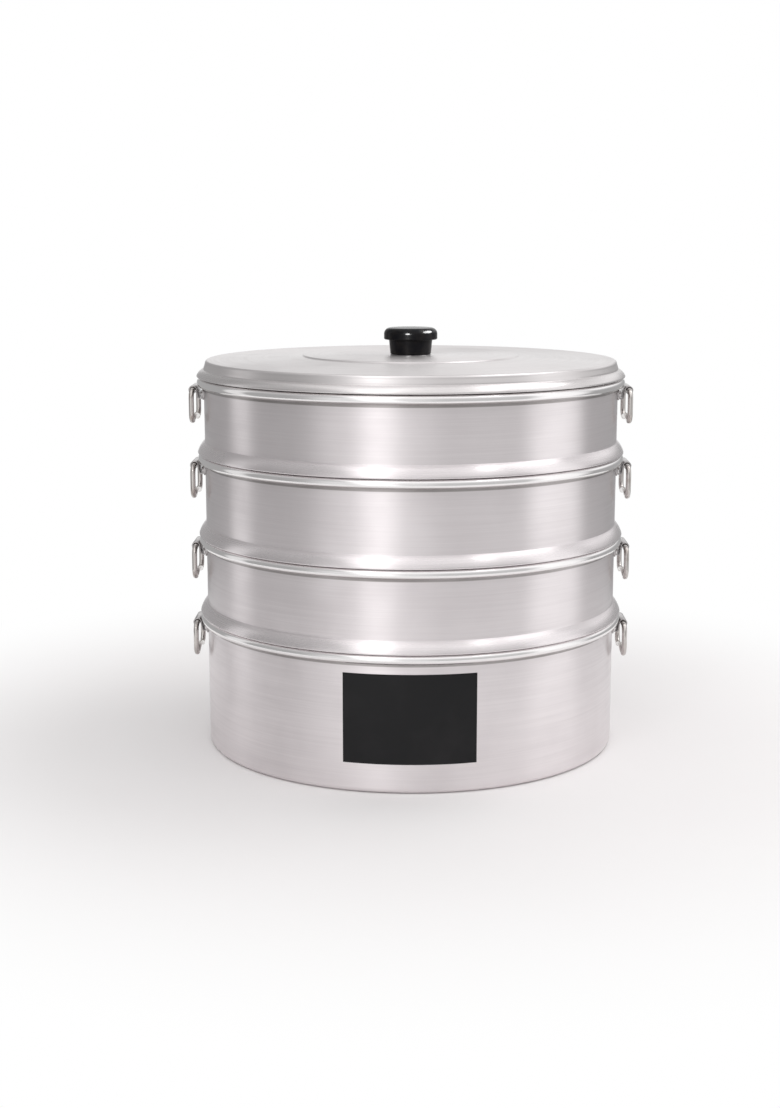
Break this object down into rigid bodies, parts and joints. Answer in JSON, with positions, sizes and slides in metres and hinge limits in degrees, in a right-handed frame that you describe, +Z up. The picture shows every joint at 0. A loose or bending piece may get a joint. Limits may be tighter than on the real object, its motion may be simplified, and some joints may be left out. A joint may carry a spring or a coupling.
{
  "type": "momo steamer",
  "caption": "Stacked aluminium steamer: water pot, perforated steaming trays nesting in one another, and a flat lid with a black knob; wire drop rings swing in riveted lugs.",
  "frame": {"origin": "on the stack's axis, on the face that the water pot stands on", "axes": "+Z up along the stack's axis, +X through the right column of drop rings as pictured, -Y towards the camera"},
  "size_m": [0.3754, 0.362, 0.3547],
  "materials": {
    "pot_aluminium": "satin, spun, with fine turning lines",
    "tray_aluminium": "satin, spun, with fine turning lines",
    "lid_aluminium": "satin, spun, with fine turning lines",
    "lug_aluminium": "pressed strip, lightly polished",
    "rivet_aluminium": "plain set heads",
    "ring_plated_steel": "bright plated wire",
    "knob_bakelite": "gloss black moulding",
    "insert_brass": "turned",
    "washer_steel": "zinc plated",
    "screw_steel": "zinc plated"
  },
  "bodies": {
    "base_pot": {"base_pot": "pot_aluminium", "base_pot_right_lug": "lug_aluminium", "base_pot_right_front_rivet": "rivet_aluminium", "base_pot_right_rear_rivet": "rivet_aluminium", "base_pot_left_lug": "lug_aluminium", "base_pot_left_front_rivet": "rivet_aluminium", "base_pot_left_rear_rivet": "rivet_aluminium"},
    "lower_tray": {"lower_tray": "tray_aluminium", "lower_tray_right_lug": "lug_aluminium", "lower_tray_right_front_rivet": "rivet_aluminium", "lower_tray_right_rear_rivet": "rivet_aluminium", "lower_tray_left_lug": "lug_aluminium", "lower_tray_left_front_rivet": "rivet_aluminium", "lower_tray_left_rear_rivet": "rivet_aluminium"},
    "middle_tray": {"middle_tray": "tray_aluminium", "middle_tray_right_lug": "lug_aluminium", "middle_tray_right_front_rivet": "rivet_aluminium", "middle_tray_right_rear_rivet": "rivet_aluminium", "middle_tray_left_lug": "lug_aluminium", "middle_tray_left_front_rivet": "rivet_aluminium", "middle_tray_left_rear_rivet": "rivet_aluminium"},
    "upper_tray": {"upper_tray": "tray_aluminium", "upper_tray_right_lug": "lug_aluminium", "upper_tray_right_front_rivet": "rivet_aluminium", "upper_tray_right_rear_rivet": "rivet_aluminium", "upper_tray_left_lug": "lug_aluminium", "upper_tray_left_front_rivet": "rivet_aluminium", "upper_tray_left_rear_rivet": "rivet_aluminium"},
    "lid": {"lid": "lid_aluminium", "knob": "knob_bakelite", "knob_insert": "insert_brass", "knob_washer": "washer_steel", "knob_screw": "screw_steel"},
    "base_pot_right_ring": {"base_pot_right_ring": "ring_plated_steel"},
    "base_pot_left_ring": {"base_pot_left_ring": "ring_plated_steel"},
    "lower_tray_right_ring": {"lower_tray_right_ring": "ring_plated_steel"},
    "lower_tray_left_ring": {"lower_tray_left_ring": "ring_plated_steel"},
    "middle_tray_right_ring": {"middle_tray_right_ring": "ring_plated_steel"},
    "middle_tray_left_ring": {"middle_tray_left_ring": "ring_plated_steel"},
    "upper_tray_right_ring": {"upper_tray_right_ring": "ring_plated_steel"},
    "upper_tray_left_ring": {"upper_tray_left_ring": "ring_plated_steel"}
  },
  "joints": [
    {"name": "lower_tray_lift", "type": "slide", "parent": "base_pot", "child": "lower_tray", "axis": [0, 0, 1], "range_m": [0, 0.12]},
    {"name": "middle_tray_lift", "type": "slide", "parent": "lower_tray", "child": "middle_tray", "axis": [0, 0, 1], "range_m": [0, 0.12]},
    {"name": "upper_tray_lift", "type": "slide", "parent": "middle_tray", "child": "upper_tray", "axis": [0, 0, 1], "range_m": [0, 0.12]},
    {"name": "lid_lift", "type": "slide", "parent": "upper_tray", "child": "lid", "axis": [0, 0, 1], "range_m": [0, 0.12]},
    {"name": "base_pot_right_ring_swing", "type": "hinge", "parent": "base_pot", "child": "base_pot_right_ring", "pos_m": [0.184, 0, 0.1013], "axis": [0, -1, 0], "range_deg": [-17, 180]},
    {"name": "base_pot_left_ring_swing", "type": "hinge", "parent": "base_pot", "child": "base_pot_left_ring", "pos_m": [-0.184, 0, 0.1013], "axis": [0, 1, 0], "range_deg": [-17, 180]},
    {"name": "lower_tray_right_ring_swing", "type": "hinge", "parent": "lower_tray", "child": "lower_tray_right_ring", "pos_m": [0.184, 0, 0.1685], "axis": [0, -1, 0], "range_deg": [-17, 180]},
    {"name": "lower_tray_left_ring_swing", "type": "hinge", "parent": "lower_tray", "child": "lower_tray_left_ring", "pos_m": [-0.184, 0, 0.1685], "axis": [0, 1, 0], "range_deg": [-17, 180]},
    {"name": "middle_tray_right_ring_swing", "type": "hinge", "parent": "middle_tray", "child": "middle_tray_right_ring", "pos_m": [0.184, 0, 0.2383], "axis": [0, -1, 0], "range_deg": [-17, 180]},
    {"name": "middle_tray_left_ring_swing", "type": "hinge", "parent": "middle_tray", "child": "middle_tray_left_ring", "pos_m": [-0.184, 0, 0.2383], "axis": [0, 1, 0], "range_deg": [-17, 180]},
    {"name": "upper_tray_right_ring_swing", "type": "hinge", "parent": "upper_tray", "child": "upper_tray_right_ring", "pos_m": [0.184, 0, 0.3024], "axis": [0, -1, 0], "range_deg": [-17, 180]},
    {"name": "upper_tray_left_ring_swing", "type": "hinge", "parent": "upper_tray", "child": "upper_tray_left_ring", "pos_m": [-0.184, 0, 0.3024], "axis": [0, 1, 0], "range_deg": [-17, 180]}
  ]
}
